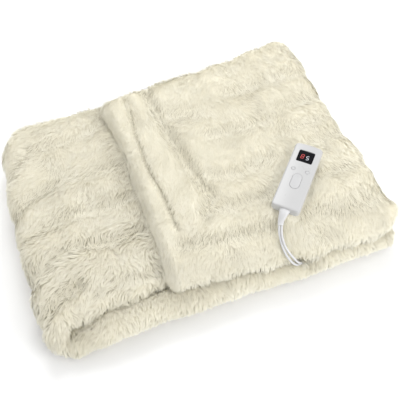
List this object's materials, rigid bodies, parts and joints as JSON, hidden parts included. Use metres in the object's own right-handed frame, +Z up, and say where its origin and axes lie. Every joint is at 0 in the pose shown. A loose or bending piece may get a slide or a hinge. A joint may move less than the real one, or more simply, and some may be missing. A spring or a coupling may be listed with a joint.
{
  "type": "electric heated blanket",
  "caption": "Electric heated blanket in long cream pile, folded for the shelf, with its corded control handset lying on top and a mains plug behind.",
  "frame": {"origin": "middle of the folded blanket and its handset, on the surface that it lies on", "axes": "+X along the blanket's near side towards the side where the handset lies, +Y from the near folded side to the far side with the hems, +Z up"},
  "size_m": [0.6531, 0.5441, 0.1388],
  "materials": {
    "cream_pile": "long soft cream pile, matt",
    "white_gloss_moulding": "glossy white moulding",
    "black_display_window": "glossy black display window",
    "white_satin_moulding": "satin white moulding",
    "white_soft_jacket": "smooth soft white jacket",
    "nickelled_brass": "bright nickelled brass"
  },
  "bodies": {
    "base": {"throw": "cream_pile", "handset_shell": "white_gloss_moulding", "display_window": "black_display_window", "strain_relief": "white_soft_jacket", "mains_lead": "white_soft_jacket", "mains_lead_coil": "white_soft_jacket", "mains_lead_end": "white_soft_jacket", "throw_lead": "white_soft_jacket", "plug_body": "white_soft_jacket", "plug_pin_near": "nickelled_brass", "plug_pin_far": "nickelled_brass"},
    "left_button": {"left_button": "white_satin_moulding"},
    "right_button": {"right_button": "white_satin_moulding"},
    "level_key": {"level_key": "white_satin_moulding"}
  },
  "joints": [
    {"name": "left_button_press", "type": "slide", "parent": "base", "child": "left_button", "axis": [0, 0, -1], "range_m": [0, 0.0008], "stiffness_N_per_m": 1500},
    {"name": "right_button_press", "type": "slide", "parent": "base", "child": "right_button", "axis": [0, 0, -1], "range_m": [0, 0.0008], "stiffness_N_per_m": 1500},
    {"name": "level_key_rock", "type": "hinge", "parent": "base", "child": "level_key", "pos_m": [0.15519, -0.11297, 0.13656], "axis": [0.7206, -0.6934, 0], "range_deg": [-2.5, 2.5], "stiffness_Nm_per_rad": 0.4}
  ]
}
